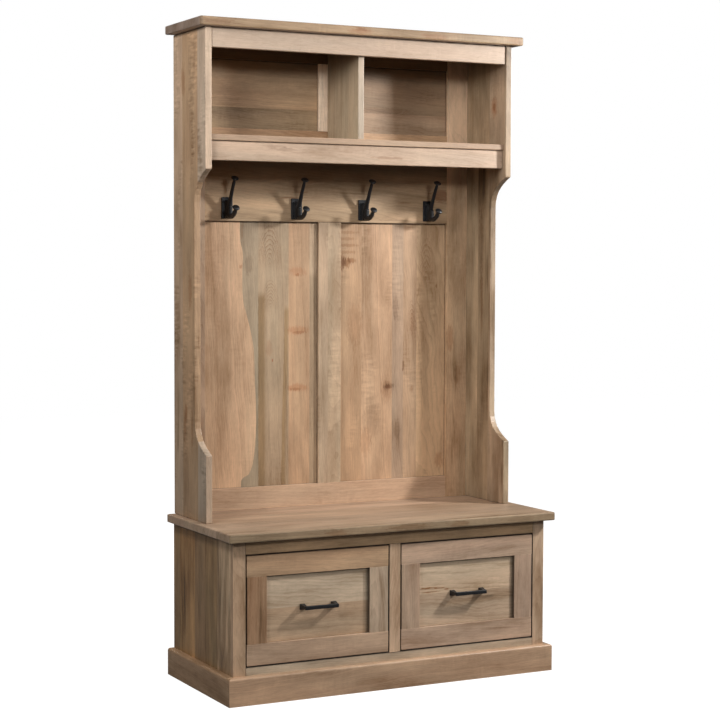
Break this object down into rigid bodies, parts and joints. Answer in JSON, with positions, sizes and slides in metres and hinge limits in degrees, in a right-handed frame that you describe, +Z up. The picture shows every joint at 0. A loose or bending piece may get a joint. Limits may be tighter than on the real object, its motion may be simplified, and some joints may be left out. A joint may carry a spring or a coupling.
{
  "type": "hall tree",
  "caption": "Wooden hall tree: a bench with inset drawers and a plinth, and a framed-panel hutch with open cubbies and black coat hooks.",
  "frame": {"origin": "centre of the footprint of the whole object's box, on the floor", "axes": "+Z up, the front with the drawers faces -Y, +X to the viewer's right"},
  "size_m": [1.064, 0.4754, 1.917],
  "materials": {
    "case_wood": "clear satin lacquer on stained maple",
    "seat_wood": "clear satin lacquer on stained maple",
    "hutch_wood": "clear satin lacquer on stained maple",
    "back_frame_wood": "clear satin lacquer on stained maple",
    "back_panel_wood": "clear satin lacquer on stained maple",
    "drawer_frame_wood": "clear satin lacquer on stained maple",
    "drawer_panel_wood": "clear satin lacquer on stained maple",
    "drawer_box_wood": "clear satin lacquer on plain maple",
    "runner_wood": "waxed hardwood",
    "plywood": "unfinished plywood",
    "black_hook": "satin black coating",
    "black_pull": "satin black coating"
  },
  "bodies": {
    "carcass": {"seat_top": "seat_wood", "base_side_left": "case_wood", "base_side_right": "case_wood", "base_partition": "case_wood", "face_stile_left": "case_wood", "face_stile_middle": "case_wood", "face_stile_right": "case_wood", "face_rail_top": "case_wood", "face_rail_bottom": "case_wood", "plinth_front": "case_wood", "plinth_left": "case_wood", "plinth_right": "case_wood", "base_floor": "plywood", "base_back": "plywood", "hutch_side_left": "hutch_wood", "hutch_side_right": "hutch_wood", "crown_top": "hutch_wood", "crown_rail": "hutch_wood", "cubby_shelf": "hutch_wood", "shelf_apron": "hutch_wood", "cubby_divider": "hutch_wood", "back_stile_left": "back_frame_wood", "back_stile_right": "back_frame_wood", "back_rail_bottom": "back_frame_wood", "hook_rail": "back_frame_wood", "back_rail_top": "back_frame_wood", "back_mullion_lower": "back_frame_wood", "back_mullion_upper": "back_frame_wood", "back_panel_left": "back_panel_wood", "back_panel_right": "back_panel_wood", "cubby_panel_left": "back_panel_wood", "cubby_panel_right": "back_panel_wood", "drawer_left_runner_inner": "runner_wood", "drawer_left_runner_outer": "runner_wood", "drawer_right_runner_inner": "runner_wood", "drawer_right_runner_outer": "runner_wood", "coat_hook_1": "black_hook", "coat_hook_2": "black_hook", "coat_hook_3": "black_hook", "coat_hook_4": "black_hook"},
    "drawer_left": {"drawer_left_box_bottom": "plywood", "drawer_left_rail_top": "drawer_frame_wood", "drawer_left_rail_bottom": "drawer_frame_wood", "drawer_left_stile_left": "drawer_frame_wood", "drawer_left_stile_right": "drawer_frame_wood", "drawer_left_panel": "drawer_panel_wood", "drawer_left_box_left": "drawer_box_wood", "drawer_left_box_right": "drawer_box_wood", "drawer_left_box_back": "drawer_box_wood", "drawer_left_pull": "black_pull"},
    "drawer_right": {"drawer_right_box_bottom": "plywood", "drawer_right_rail_top": "drawer_frame_wood", "drawer_right_rail_bottom": "drawer_frame_wood", "drawer_right_stile_left": "drawer_frame_wood", "drawer_right_stile_right": "drawer_frame_wood", "drawer_right_panel": "drawer_panel_wood", "drawer_right_box_left": "drawer_box_wood", "drawer_right_box_right": "drawer_box_wood", "drawer_right_box_back": "drawer_box_wood", "drawer_right_pull": "black_pull"}
  },
  "joints": [
    {"name": "drawer_left_slide", "type": "slide", "parent": "carcass", "child": "drawer_left", "axis": [0, -1, 0], "range_m": [0, 0.33]},
    {"name": "drawer_right_slide", "type": "slide", "parent": "carcass", "child": "drawer_right", "axis": [0, -1, 0], "range_m": [0, 0.33]}
  ]
}
